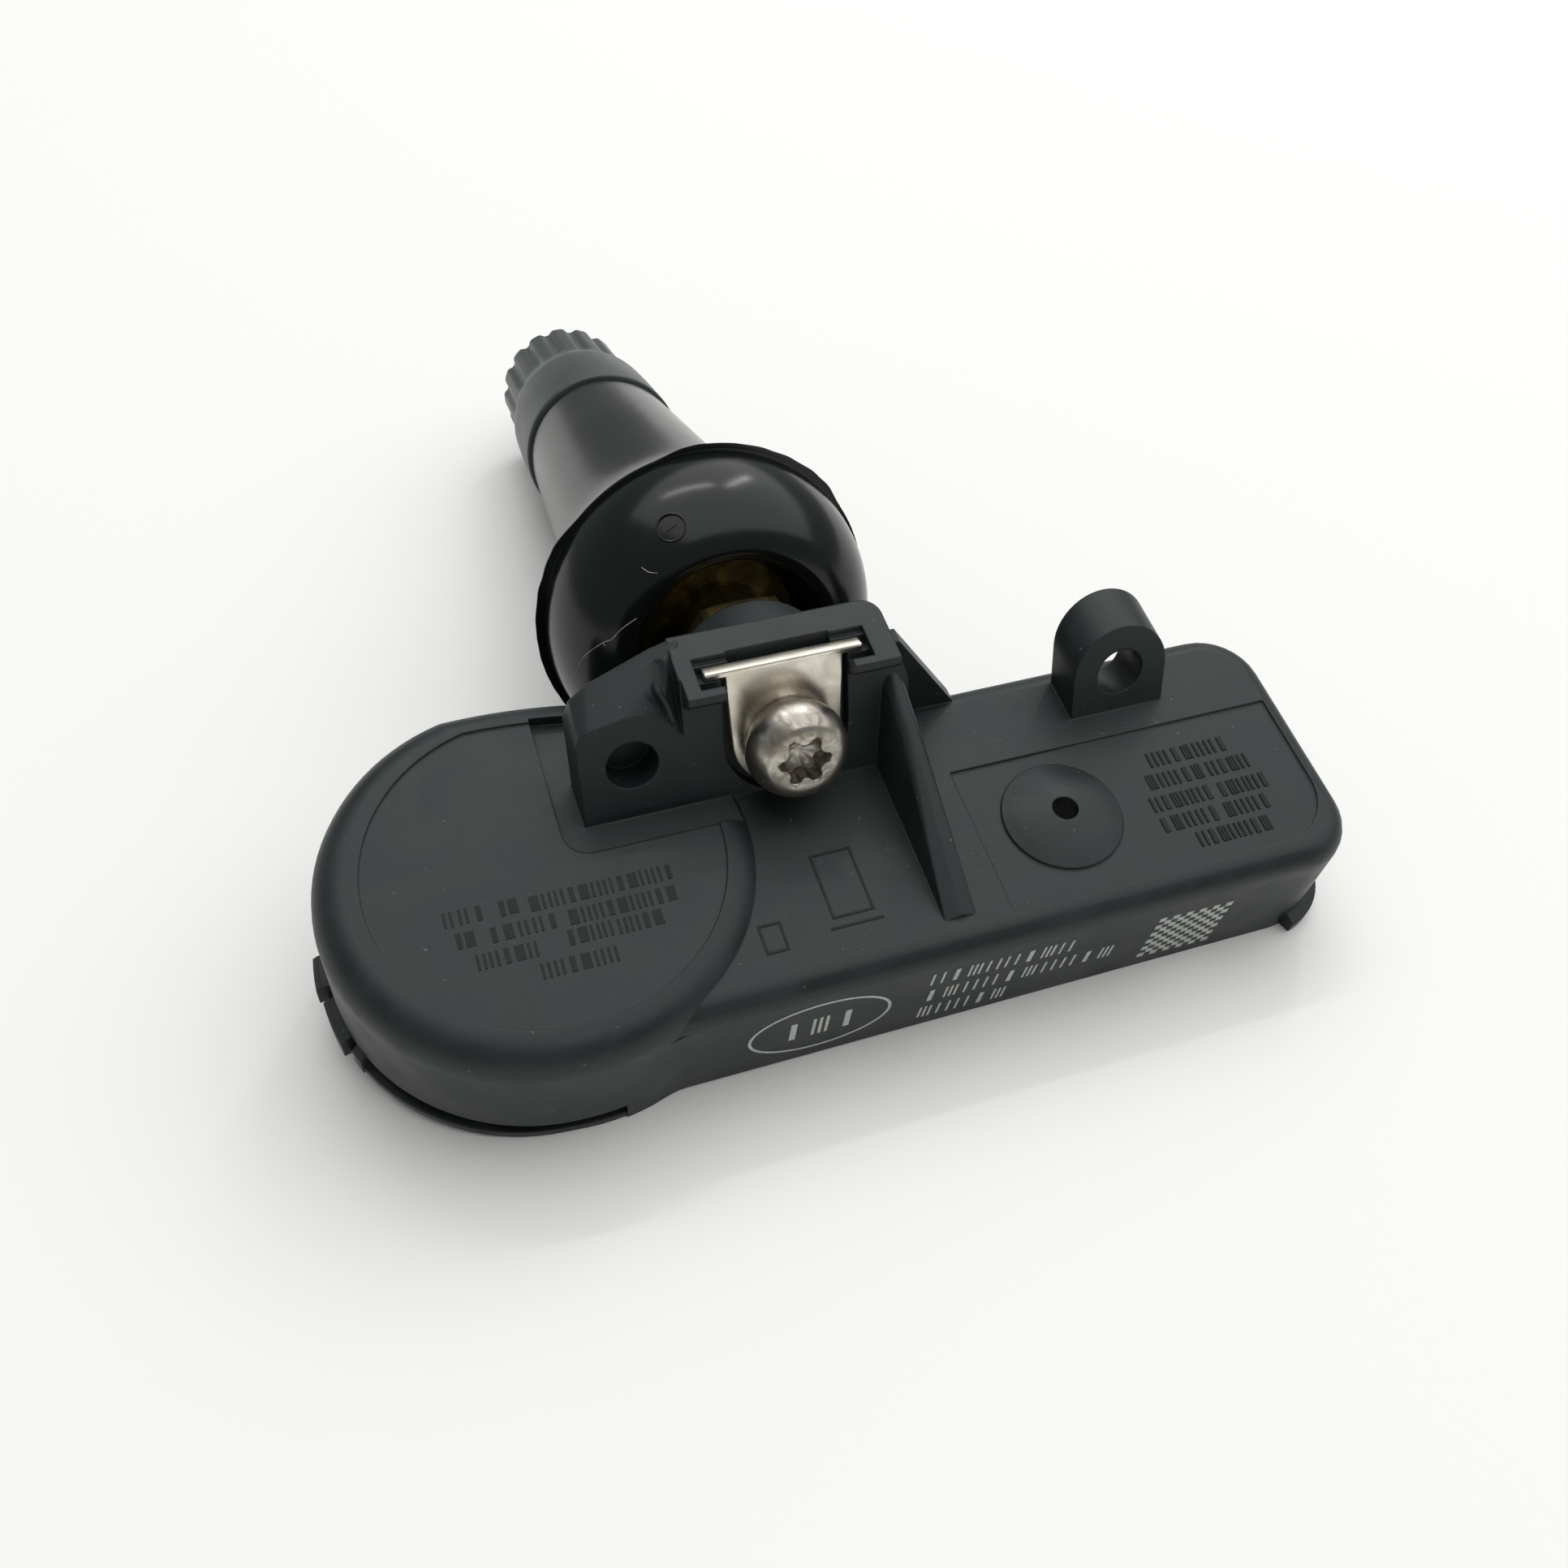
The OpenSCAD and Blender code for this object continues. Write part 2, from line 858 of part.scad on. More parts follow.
// Spring round the pin, inside the barrel
module core_spring() {
  s1 = barrel_s + 0.6;
  s2 = 46.6;
  wire_r = 0.1;
  coil_r = 0.78;
  turns = 7;
  sides = 8;
  rings = turns * 14;
  function ring_at(i) =
    let (a = 360 * turns * i / rings, s = s1 + wire_r + (s2 - s1 - 2 * wire_r) * i / rings)
    [for (j = [0:sides - 1]) let (b = 360 * j / sides, r = coil_r + wire_r * cos(b))
      [r * cos(a), s + wire_r * sin(b), r * sin(a)]];
  points = [for (i = [0:rings]) each ring_at(i)];
  sides_of = [for (i = [0:rings - 1], j = [0:sides - 1])
    let (k = (j + 1) % sides)
    [i * sides + j, (i + 1) * sides + j, (i + 1) * sides + k, i * sides + k]];
  ends = [[for (j = [0:sides - 1]) j], [for (j = [sides - 1:-1:0]) rings * sides + j]];
  color(steel)
    at_rest()
      on_valve()
        polyhedron(points, concat(sides_of, ends));
}

module core_pin() {
  color(brass)
    at_rest()
      on_valve()
        turned([
          [0, 39.2], [0.8, 39.2], [0.8, 39.5], [pin_r, 39.5], [pin_r, 46.6], [0.95, 46.6],
          [0.95, 47.1], [pin_r, 47.1], [pin_r, 52.9], [0, 52.9]]);
}

module core_seal() {
  color("#232323")
    at_rest()
      on_valve()
        turned([[pin_r, 39.5], [1.1, 39.5], [1.35, 39.8], [1.35, barrel_s - 0.02], [pin_r, barrel_s - 0.02]]);
}

// Sealing ring in the cap's roof
module cap_seal() {
  color("#b54a35")
    at_rest()
      on_valve()
        turned([
          [1.3, stem_end + 0.05], [3.2, stem_end + 0.05], [3.2, stem_end + 1.08], [1.3, stem_end + 1.08]]);
}

// Long cap with a smooth skirt and a fluted grip
module valve_cap() {
  skirt_r = stem_r + 0.26;
  grip_r = 4.95;
  groove_r = 0.72;
  inner_r = thread_r + thread_play;
  color("#3b3f41")
    at_rest()
      on_valve()
        difference() {
          turned([
            [inner_r + 0.5, cap_start], [skirt_r, cap_start], [5.45, 50.6], [grip_r + 0.15, 51.8],
            [grip_r, 52.4], [grip_r - 0.05, cap_end - 0.5], [grip_r - 0.5, cap_end], [0, cap_end],
            [0, stem_end + 1.1], [inner_r, stem_end + 1.1], [inner_r, cap_start + 0.6]]);
          for (i = [0:flutes - 1])
            rotate([0, 360 * (i + 0.5) / flutes, 0])
              translate([grip_r + groove_r - 0.45, 53, 0]) {
                rotate([-90, 0, 0])
                  cylinder(r = groove_r, h = 10, $fn = 24);
                sphere(groove_r, $fn = 24);
              }
        }
}

housing();
base_cover();
cell_pad();
battery_cell();
battery_tab_top();
battery_tab_bottom();
circuit_board();
pressure_sensor();
port_gasket();
vent_filter();
transmitter_chip();
crystal();
capacitors();
lf_coil_core();
lf_coil_winding();
antenna();
retaining_clip();
valve_screw();
valve_stem();
rubber_body();
core_plug();
core_gasket();
core_barrel();
core_spring();
core_pin();
core_seal();
cap_seal();
valve_cap();
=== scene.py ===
import math

import bmesh
import bpy
from mathutils import Matrix, Vector, noise


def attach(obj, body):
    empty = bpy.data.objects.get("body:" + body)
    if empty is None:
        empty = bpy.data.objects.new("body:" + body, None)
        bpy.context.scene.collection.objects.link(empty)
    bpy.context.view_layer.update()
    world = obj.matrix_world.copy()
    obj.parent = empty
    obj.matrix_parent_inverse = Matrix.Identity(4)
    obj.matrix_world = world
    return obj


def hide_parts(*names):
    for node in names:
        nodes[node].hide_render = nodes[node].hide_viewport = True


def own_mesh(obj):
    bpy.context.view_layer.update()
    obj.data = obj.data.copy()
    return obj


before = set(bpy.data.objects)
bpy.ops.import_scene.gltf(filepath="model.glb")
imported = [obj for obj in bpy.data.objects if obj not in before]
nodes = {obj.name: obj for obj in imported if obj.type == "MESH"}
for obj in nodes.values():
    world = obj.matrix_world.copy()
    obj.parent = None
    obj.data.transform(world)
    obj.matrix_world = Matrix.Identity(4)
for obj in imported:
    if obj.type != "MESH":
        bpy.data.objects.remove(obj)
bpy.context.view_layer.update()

print("frame loaded")

# Lengths below are millimetres unless a note says otherwise
millimetre = 0.001

# The sensor lies on its front edge and its cap
rest = {"pitch": 12.791, "roll": 0.233, "shift": (-2.00, -21.52, 2.432)}
valve = {"tilt": 22.0, "height": 11.95}


def turn(angle, axis):
    return Matrix.Rotation(math.radians(angle), 4, axis)


def move(x, y, z):
    return Matrix.Translation((x, y, z))


# Housing frame: X along the housing, Y out along the valve, Z up from the base
lean = turn(rest["roll"], "Y") @ turn(rest["pitch"], "X")
lying = Matrix.Scale(millimetre, 4) @ move(*rest["shift"]) @ lean
# Valve frame: Y along the valve's axis, outwards
onValve = lying @ move(0, 0, valve["height"]) @ turn(-valve["tilt"], "X")


# Turns an sRGB hex colour to linear
def colour(hexText):
    values = [int(hexText[i:i + 2], 16) / 255 for i in (1, 3, 5)]
    return [v / 12.92 if v <= 0.04045 else ((v + 0.055) / 1.055) ** 2.4 for v in values] + [1.0]


def addNode(material, kind, inputs=None, **settings):
    node = material.node_tree.nodes.new("ShaderNode" + kind)
    for key, value in settings.items():
        setattr(node, key, value)
    for key, value in (inputs or {}).items():
        if isinstance(value, bpy.types.NodeSocket):
            material.node_tree.links.new(value, node.inputs[key])
        else:
            node.inputs[key].default_value = value
    return node


def newMaterial(name, hexText, **inputs):
    material = bpy.data.materials.new(name)
    material.use_nodes = True
    shader = material.node_tree.nodes["Principled BSDF"]
    shader.inputs["Base Color"].default_value = colour(hexText)
    for key, value in inputs.items():
        shader.inputs[key.replace("_", " ")].default_value = value
    return material, shader


def connect(material, output, shader, key):
    material.node_tree.links.new(output, shader.inputs[key])


# Noise whose features are about size millimetres across
def grain(material, size, detail=4.0, distortion=0.0):
    place = addNode(material, "TexCoord").outputs["Object"]
    scale = 1 / (size * millimetre)
    return addNode(material, "TexNoise", {
        "Vector": place, "Scale": scale, "Detail": detail, "Distortion": distortion}).outputs["Fac"]


# Takes factor from start and end, where noise mostly lies, to low and high
def spread(material, factor, low, high, start=0.35, end=0.65):
    return addNode(material, "MapRange", {
        "Value": factor, "From Min": start, "From Max": end, "To Min": low, "To Max": high}).outputs["Result"]


def mixColours(material, factor, first, second):
    mix = addNode(material, "Mix", data_type="RGBA")
    share, colourA, colourB = mix.inputs[0], mix.inputs[6], mix.inputs[7]
    for socket, value in ((share, factor), (colourA, first), (colourB, second)):
        if isinstance(value, bpy.types.NodeSocket):
            material.node_tree.links.new(value, socket)
        else:
            socket.default_value = colour(value)
    return mix.outputs[2]  # the colour


# Softens edges by edge millimetres, then adds layers of (height, strength, depth in millimetres)
def bumpOn(material, shader, layers, edge=0.0):
    normal = None
    if edge:
        normal = addNode(material, "Bevel", {"Radius": edge * millimetre}, samples=8).outputs["Normal"]
    for height, strength, depth in layers:
        inputs = {"Height": height, "Strength": strength, "Distance": depth * millimetre}
        if normal:
            inputs["Normal"] = normal
        normal = addNode(material, "Bump", inputs).outputs["Normal"]
    connect(material, normal, shader, "Normal")


# Glass-filled nylon, moulded: charcoal and satin, cloudy where the glass comes up,
# with a fine sparkle of grain and pale dust specks, each of a size in millimetres
nylon = {"cloud": 3.2, "grain": 0.12, "speck": 0.35, "speckColour": "#8e9492", "speckLimits": (0.70, 0.76)}


def nylonMaterial(name, dark, pale, edge, low=0.4, high=0.52):
    material, shader = newMaterial(name, dark, Roughness=low, IOR=1.5, Specular_IOR_Level=0.36)
    flow = grain(material, nylon["cloud"], 5.0, 0.6)
    fine = grain(material, nylon["grain"], 3.0)
    dust = grain(material, nylon["speck"], 6.0)
    cloudy = mixColours(material, spread(material, flow, 0.0, 1.0), dark, pale)
    specks = spread(material, dust, 0.0, 0.35, *nylon["speckLimits"])
    dusty = mixColours(material, specks, cloudy, nylon["speckColour"])
    connect(material, dusty, shader, "Base Color")
    connect(material, spread(material, flow, low, high), shader, "Roughness")
    bumpOn(material, shader, [(fine, 0.55, 0.02), (flow, 0.15, 0.05)], edge)
    return material


housingNylon = nylonMaterial("Nylon 30 glass, moulded", "#1b2021", "#222829", 0.16)
coverNylon = nylonMaterial("Nylon 30 glass, cover", "#191d1e", "#1f2425", 0.12)
capPlastic = nylonMaterial("Nylon cap, moulded", "#3a3f3f", "#454a4a", 0.08, 0.34, 0.44)


# Vulcanised rubber, moulded: near black and satin, with greyish smears of release agent
def rubberMaterial(name, dark, pale, low, high, level=0.5):
    material, shader = newMaterial(name, dark, Roughness=low, IOR=1.5, Specular_IOR_Level=level)
    smear = grain(material, 4.5, 4.0, 0.3)
    fine = grain(material, 0.16, 4.0)
    smeared = mixColours(material, spread(material, smear, 0.0, 1.0), dark, pale)
    connect(material, smeared, shader, "Base Color")
    connect(material, spread(material, smear, low, high, 0.3, 0.7), shader, "Roughness")
    bumpOn(material, shader, [(fine, 0.12, 0.015)])
    return material


valveRubber = rubberMaterial("Rubber, moulded satin", "#0f1213", "#131617", 0.17, 0.21, 0.33)
innerRubber = rubberMaterial("Rubber, inner seals", "#1c1c1c", "#232323", 0.4, 0.55)
redRubber = rubberMaterial("Rubber, red seal", "#8d3328", "#9c3d30", 0.45, 0.6)
siliconeRubber = rubberMaterial("Silicone gasket", "#6f3b34", "#7a443b", 0.4, 0.55)
padFoam = rubberMaterial("Foam pad", "#777c74", "#8a8f86", 0.8, 0.95)


bandSpacing = 0.314  # metres between the bands of a Wave texture at a scale of 1


# Rings round the valve's axis, which slopes down from the table's plane, as a lathe leaves them
def turningMarks(material, pitch):
    place = addNode(material, "TexCoord").outputs["Object"]
    slope = math.radians(valve["tilt"] - rest["pitch"])
    along = addNode(material, "Mapping", {"Vector": place, "Rotation": (slope, 0, 0)}).outputs["Vector"]
    scale = bandSpacing / (pitch * millimetre)
    return addNode(material, "TexWave", {
        "Vector": along, "Scale": scale, "Distortion": 1.5}, bands_direction="Y").outputs["Fac"]


# Metals: fine rolling marks in the gloss, and tarnish in patches
def metalMaterial(name, bright, dull, low, high, edge=0.0, mark=0.05, patch=1.6, turned=0.0):
    material, shader = newMaterial(name, bright, Metallic=1.0, Roughness=low)
    tarnish = grain(material, patch, 6.0, 0.8)
    fine = grain(material, mark, 2.0)
    tarnished = mixColours(material, spread(material, tarnish, 0.0, 1.0), bright, dull)
    connect(material, tarnished, shader, "Base Color")
    connect(material, spread(material, tarnish, low, high), shader, "Roughness")
    layers = [(fine, 0.1, 0.006), (tarnish, 0.15, 0.02)]
    if turned:
        layers.append((turningMarks(material, turned), 0.6, 0.012))
    bumpOn(material, shader, layers, edge)
    return material


clipNickel = metalMaterial("Spring steel, nickel plated", "#e6e0d3", "#d6cfc0", 0.26, 0.34)
screwSteel = metalMaterial("Steel screw, zinc plated and handled", "#b9b5ae", "#8f877c", 0.26, 0.42,
                           edge=0.05, mark=0.08, patch=0.7)
stemBrass = metalMaterial("Brass, turned and dull", "#9a8a5e", "#5a5138", 0.3, 0.42, edge=0.06, turned=0.2)
coreBrass = metalMaterial("Brass, valve core", "#b08d45", "#94743a", 0.22, 0.35)
cellSteel = metalMaterial("Steel cell can, nickel plated", "#b9bcbd", "#a7aaab", 0.2, 0.32, 0.1)
stripNickel = metalMaterial("Nickel strip, bare", "#cfc8b8", "#b9b2a2", 0.25, 0.35)
springSteel = metalMaterial("Spring wire, drawn", "#9b9790", "#86827b", 0.25, 0.35)
crystalLid = metalMaterial("Nickel iron lid, plated", "#c3c4c2", "#aeb0ae", 0.22, 0.3, 0.08)
print("metals and rubbers made")


# Inner parts and marks: one finish with a faint mottle of the given size
def mottledMaterial(name, dark, pale, rough, size=1.0, level=0.5):
    material, shader = newMaterial(name, dark, Roughness=rough, Specular_IOR_Level=level)
    patch = grain(material, size)
    mottled = mixColours(material, spread(material, patch, 0.0, 1.0), dark, pale)
    connect(material, mottled, shader, "Base Color")
    return material


boardMask = mottledMaterial("Glass epoxy with solder mask", "#1a5035", "#1f5c3a", 0.35)
chipEpoxy = mottledMaterial("Epoxy, moulded", "#1e2023", "#26282c", 0.55, 0.1)
filterMembrane = mottledMaterial("Expanded membrane", "#dedcd4", "#e8e6df", 0.85, 0.08)
chipCeramic = mottledMaterial("Ceramic, fired", "#8a6b43", "#9c7a4e", 0.5, 0.3)
ferriteCore = mottledMaterial("Ferrite, sintered", "#2f2e2e", "#3b3a3a", 0.6, 0.1)
coilCopper = mottledMaterial("Copper wire, enamelled", "#93461f", "#a5562c", 0.3, 0.2)
# What the mould raises is smooth; its base colour is darker than the grain round it, painted shade standing
# in for the shadows along its edges and the dark room its smooth faces reflect
raisedNylonPaintedShade = mottledMaterial("Nylon 30 glass, smooth mark with painted shade", "#0c0f10", "#131617", 0.5, 0.4, level=0.25)
# A laser turns the nylon pale and dry
laserMark = mottledMaterial("Nylon, laser bleached", "#9ea19c", "#c2c4be", 0.7, 0.1)
lint = mottledMaterial("Lint and dust", "#c9c6bb", "#97938a", 0.8, 0.4)

finishes = {
    "housing": (housingNylon, "housing_nylon"),
    "base_cover": (coverNylon, "cover_nylon"),
    "cell_pad": (padFoam, "foam"),
    "battery_cell": (cellSteel, "cell_can"),
    "battery_tab_top": (stripNickel, "nickel_strip"),
    "battery_tab_bottom": (stripNickel, "nickel_strip"),
    "circuit_board": (boardMask, "board_laminate"),
    "pressure_sensor": (chipEpoxy, "black_epoxy"),
    "port_gasket": (siliconeRubber, "gasket_rubber"),
    "vent_filter": (filterMembrane, "filter_membrane"),
    "transmitter_chip": (chipEpoxy, "black_epoxy"),
    "crystal": (crystalLid, "crystal_can"),
    "capacitors": (chipCeramic, "ceramic"),
    "lf_coil_core": (ferriteCore, "ferrite"),
    "lf_coil_winding": (coilCopper, "copper_wire"),
    "antenna": (coreBrass, "brass_wire"),
    "retaining_clip": (clipNickel, "clip_nickel"),
    "valve_screw": (screwSteel, "screw_steel"),
    "valve_stem": (stemBrass, "stem_brass"),
    "rubber_body": (valveRubber, "valve_rubber"),
    "core_plug": (coreBrass, "core_brass"),
    "core_gasket": (redRubber, "core_gasket_rubber"),
    "core_barrel": (coreBrass, "core_brass"),
    "core_spring": (springSteel, "spring_steel"),
    "core_pin": (coreBrass, "core_brass"),
    "core_seal": (innerRubber, "core_rubber"),
    "cap_seal": (redRubber, "cap_seal_rubber"),
    "valve_cap": (capPlastic, "cap_plastic"),
}
for nodeName, (material, slotName) in finishes.items():
    nodes[nodeName].data.materials.clear()
    nodes[nodeName].data.materials.append(material)
print("finishes set")


# Makes a bmesh, drawn in the frame that place gives, a piece of the sensor
def addPiece(name, bm, place, material, slotName, body="sensor", sharp=35, outwards=True):
    if outwards:
        bmesh.ops.recalc_face_normals(bm, faces=bm.faces)
    bm.transform(place)
    mesh = bpy.data.meshes.new(name)
    bm.to_mesh(mesh)
    bm.free()
    mesh.shade_smooth()
    mesh.set_sharp_from_angle(angle=math.radians(sharp))
    mesh.materials.append(material)
    piece = bpy.data.objects.new(name, mesh)
    bpy.context.scene.collection.objects.link(piece)
    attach(piece, body)
    return piece


# A merged copy of a CAD node, whose faces can be shaded smoothly, drawn in the frame that place gives
def mergedCopy(nodeName, place):
    bm = bmesh.new()
    bm.from_mesh(nodes[nodeName].data)
    bmesh.ops.remove_doubles(bm, verts=bm.verts, dist=2e-6)
    bm.transform(place.inverted())
    return bm


def replaceNode(name, nodeName, bm, place, **settings):
    material, slotName = finishes[nodeName]
    piece = addPiece(name, bm, place, material, slotName, **settings)
    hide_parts(nodeName)
    return piece


# Outlines are lists of (radius, place along the axis)
def fillIn(outline, step):
    points = []
    for first, second in zip(outline, outline[1:]):
        count = max(1, math.ceil(math.dist(first, second) / step))
        points += [tuple(a + (b - a) * i / count for a, b in zip(first, second)) for i in range(count)]
    return points + [outline[-1]]


def arcPoints(centre, radius, start, end, count):
    turns = [math.radians(start + (end - start) * i / count) for i in range(count + 1)]
    return [(centre[0] + radius * math.cos(a), centre[1] + radius * math.sin(a)) for a in turns]


# A smooth curve through the points
def curveThrough(points, count):
    ends = [points[0]] + points + [points[-1]]
    curve = []
    for a, b, c, d in zip(ends, ends[1:], ends[2:], ends[3:]):
        for i in range(count):
            t = i / count
            curve.append(tuple(0.5 * (2 * q + (r - p) * t + (2 * p - 5 * q + 4 * r - s) * t ** 2
                                      + (3 * q - p - 3 * r + s) * t ** 3) for p, q, r, s in zip(a, b, c, d)))
    return curve + [points[-1]]


# Spins an outline about the Y axis; one that starts and ends on the axis closes at its poles
def spinOutline(outline, steps, closed=False):
    bm = bmesh.new()
    points = [bm.verts.new((radius, along, 0)) for radius, along in outline]
    for first, second in zip(points, points[1:] + (points[:1] if closed else [])):
        bm.edges.new((first, second))
    bmesh.ops.spin(bm, geom=points + bm.edges[:], cent=(0, 0, 0), axis=(0, 1, 0), dvec=(0, 0, 0),
                   angle=2 * math.pi, steps=steps, use_merge=True, use_duplicate=False)
    bmesh.ops.remove_doubles(bm, verts=bm.verts, dist=0.0005)
    return bm


# Moves each point of a spun shape in or out to the radius that reach gives
def reshape(bm, reach):
    for vert in bm.verts:
        radius = math.hypot(vert.co.x, vert.co.z)
        if radius > 0.001:
            angle = math.atan2(vert.co.z, vert.co.x)
            factor = reach(radius, vert.co.y, angle) / radius
            vert.co.x *= factor
            vert.co.z *= factor


def smoothStep(x, start, end):
    t = min(max((x - start) / (end - start), 0), 1)
    return t * t * (3 - 2 * t)


# A right-hand V thread, a little flat at its root and crest; its height runs from 0 to 1
threadForm = {"slope": 2.6, "root": 0.8}


def threadHeight(along, angle, pitch):
    phase = (along / pitch - angle / (2 * math.pi)) % 1
    return min(1, max(0, threadForm["slope"] * (0.5 - abs(phase - 0.5)) * 2 - threadForm["root"]))


# Large flat faces keep their own shading, and only the rounded ones between them blend; limit is in degrees
def shadeByArea(mesh, limit):
    nearest = math.cos(math.radians(limit))
    around = [[] for vert in mesh.vertices]
    for face in mesh.polygons:
        for index in face.vertices:
            around[index].append(face)
    normals = []
    for face in mesh.polygons:
        for index in face.vertices:
            total = Vector()
            for other in around[index]:
                if other.normal.dot(face.normal) > nearest:
                    total += other.normal * (other.area / millimetre ** 2) ** 2
            normals.append(total.normalized())
    mesh.normals_split_custom_set(normals)


# The lug's face runs on into the bridge without a gap; the places are in the valve's frame
lugGap = {"edge": -5.6, "reach": 0.14, "face": 3.05, "near": 0.05, "top": 1.2}


def closeLugGap(bm):
    for vert in bm.verts:
        beside = lugGap["edge"] - lugGap["reach"] < vert.co.x < lugGap["edge"]
        if beside and abs(vert.co.y - lugGap["face"]) < lugGap["near"] and vert.co.z < lugGap["top"]:
            vert.co.x = lugGap["edge"]


# The ear's round back runs level with the housing, so it rises from the tilted face
ear = {"middle": (19.8, -0.73), "face": 3.05, "depth": 2.7, "reach": 3.0, "hole": 1.45, "foot": -1.9}


# Its hole stays square to the face
def raiseEarBack(bm):
    middleX, middleZ = ear["middle"]
    for vert in bm.verts:
        across = math.hypot(vert.co.x - middleX, vert.co.z - middleZ)
        behind = vert.co.y - ear["face"]
        if ear["hole"] < across < ear["reach"] and 0 < behind < ear["depth"]:
            share = smoothStep(vert.co.z, ear["foot"], middleZ)
            vert.co.z += share * behind * math.tan(math.radians(valve["tilt"]))


# Joins the flat triangles of a merged copy that lie within angle degrees of each other
def joinFlat(bm, angle):
    bmesh.ops.dissolve_limit(bm, angle_limit=math.radians(angle), verts=bm.verts, edges=bm.edges)


# Housing and cover: the solids, with their curved faces smooth; angles are in degrees
shells = {"flat": 0.3, "sharp": 26}
for name, nodeName in (("Housing", "housing"), ("BaseCover", "base_cover")):
    shellMesh = mergedCopy(nodeName, onValve)
    if name == "Housing":
        closeLugGap(shellMesh)
        raiseEarBack(shellMesh)
    joinFlat(shellMesh, shells["flat"])
    shell = replaceNode(name, nodeName, shellMesh, onValve, sharp=shells["sharp"], outwards=False)
    shadeByArea(shell.data, shells["sharp"])
print("housing made")

# Clip: stamped, then tumbled, so its edges are round; angles are in degrees
clip = {"edge": 0.12, "flat": 2, "corner": 40}
clipMesh = mergedCopy("retaining_clip", onValve)
joinFlat(clipMesh, clip["flat"])
clipEdges = [edge for edge in clipMesh.edges if edge.calc_face_angle(0) > math.radians(clip["corner"])]
bmesh.ops.bevel(clipMesh, geom=clipEdges, offset=clip["edge"], offset_type="OFFSET", segments=3, profile=0.5,
                affect="EDGES", clamp_overlap=True, material=-1)
replaceNode("RetainingClip", "retaining_clip", clipMesh, onValve, sharp=clip["corner"])
print("clip made")

# Valve cap: smooth skirt, grip flutes that run out in scoops, threaded bore; "flutesRise" and "threadFade"
# are places along the axis, "threadLead" starts at the skirt's end, "flutesIn" are the radii where the flutes
# run out on the end, and "fluteSides" are where a flute's side starts and ends, in shares of half the spacing
cap = {"start": 44.15, "end": 58.3, "bore": 3.91, "roof": 54.5, "steps": 192,
       "pitch": 0.794, "threadDepth": 0.28, "threadFade": (53.4, 54),
       "threadLead": (0.6, 1.4), "flutes": 16, "depth": 0.3, "flutesRise": (51.9, 53.4),
       "flutesIn": (2.6, 4.3), "fluteSides": (0.1, 0.62),
       "skirt": [(5.70, 44.6), (5.62, 47.5), (5.47, 50.3), (5.32, 51.2), (5.06, 52.05), (4.99, 52.5)],
       "grip": [(4.99, 52.5), (4.89, 57.75)]}


def capReach(radius, along, angle):
    if radius < cap["bore"] + 0.09 and along < cap["roof"] - 0.02:
        lead = smoothStep(along, *(cap["start"] + place for place in cap["threadLead"]))
        shown = lead * (1 - smoothStep(along, *cap["threadFade"]))
        return radius + cap["threadDepth"] * shown * (1 - threadHeight(along, angle, cap["pitch"]))
    across = abs((angle * cap["flutes"] / (2 * math.pi)) % 1 - 0.5) * 2
    groove = 1 - smoothStep(across, *cap["fluteSides"])
    shown = smoothStep(along, *cap["flutesRise"]) * smoothStep(radius, *cap["flutesIn"])
    return radius - cap["depth"] * groove * shown


capOutline = [(0, cap["roof"])] + fillIn([(3, cap["roof"]), (cap["bore"], cap["roof"])], 0.5)
capOutline += fillIn([(cap["bore"], cap["roof"] - 0.05), (cap["bore"], cap["start"] + 0.6)], 0.1)
capOutline += [(4.15, cap["start"] + 0.3), (4.25, cap["start"] + 0.02), (4.4, cap["start"])]
capOutline += arcPoints((5.56, 44.3), 0.15, -90, 0, 4)
capOutline += curveThrough(cap["skirt"], 6)[:-1]
capOutline += fillIn(cap["grip"], 0.3)
capOutline += arcPoints((4.41, 57.82), 0.48, 0, 90, 6)
capOutline += fillIn([(4.2, cap["end"]), (2.4, cap["end"])], 0.3) + [(1.2, cap["end"]), (0, cap["end"])]
capMesh = spinOutline(capOutline, cap["steps"])
reshape(capMesh, capReach)
replaceNode("ValveCap", "valve_cap", capMesh, onValve, body="cap", sharp=50)
print("cap made")

# Brass stem: the solid up to its thread, and a turned thread in the place of the plain end
stem = {"threadFrom": 43.2, "threadTo": 53, "end": 53.4, "crest": 3.85, "depth": 0.33,
        "fadeIn": (44.2, 45.0), "fadeOut": (52.4, 53.1),
        "bore": 1.75, "chamber": 2.6, "seat": 46, "steps": 96}


def stemReach(radius, along, angle):
    if radius < stem["crest"] - 0.1 or not stem["threadFrom"] < along < stem["threadTo"]:
        return radius
    shown = smoothStep(along, *stem["fadeIn"]) * (1 - smoothStep(along, *stem["fadeOut"]))
    return radius - stem["depth"] * shown * (1 - threadHeight(along, angle, cap["pitch"]))


stemMesh = mergedCopy("valve_stem", onValve)
wholeStem = stemMesh.verts[:] + stemMesh.edges[:] + stemMesh.faces[:]
cut = bmesh.ops.bisect_plane(stemMesh, geom=wholeStem, dist=0.0001, plane_co=(0, stem["threadFrom"], 0),
                             plane_no=(0, 1, 0), clear_outer=True)
cutEdges = [edge for edge in cut["geom_cut"] if isinstance(edge, bmesh.types.BMEdge)]
bmesh.ops.triangle_fill(stemMesh, use_beauty=True, use_dissolve=False, edges=cutEdges, normal=(0, 1, 0))
replaceNode("ValveStem", "valve_stem", stemMesh, onValve, sharp=26)

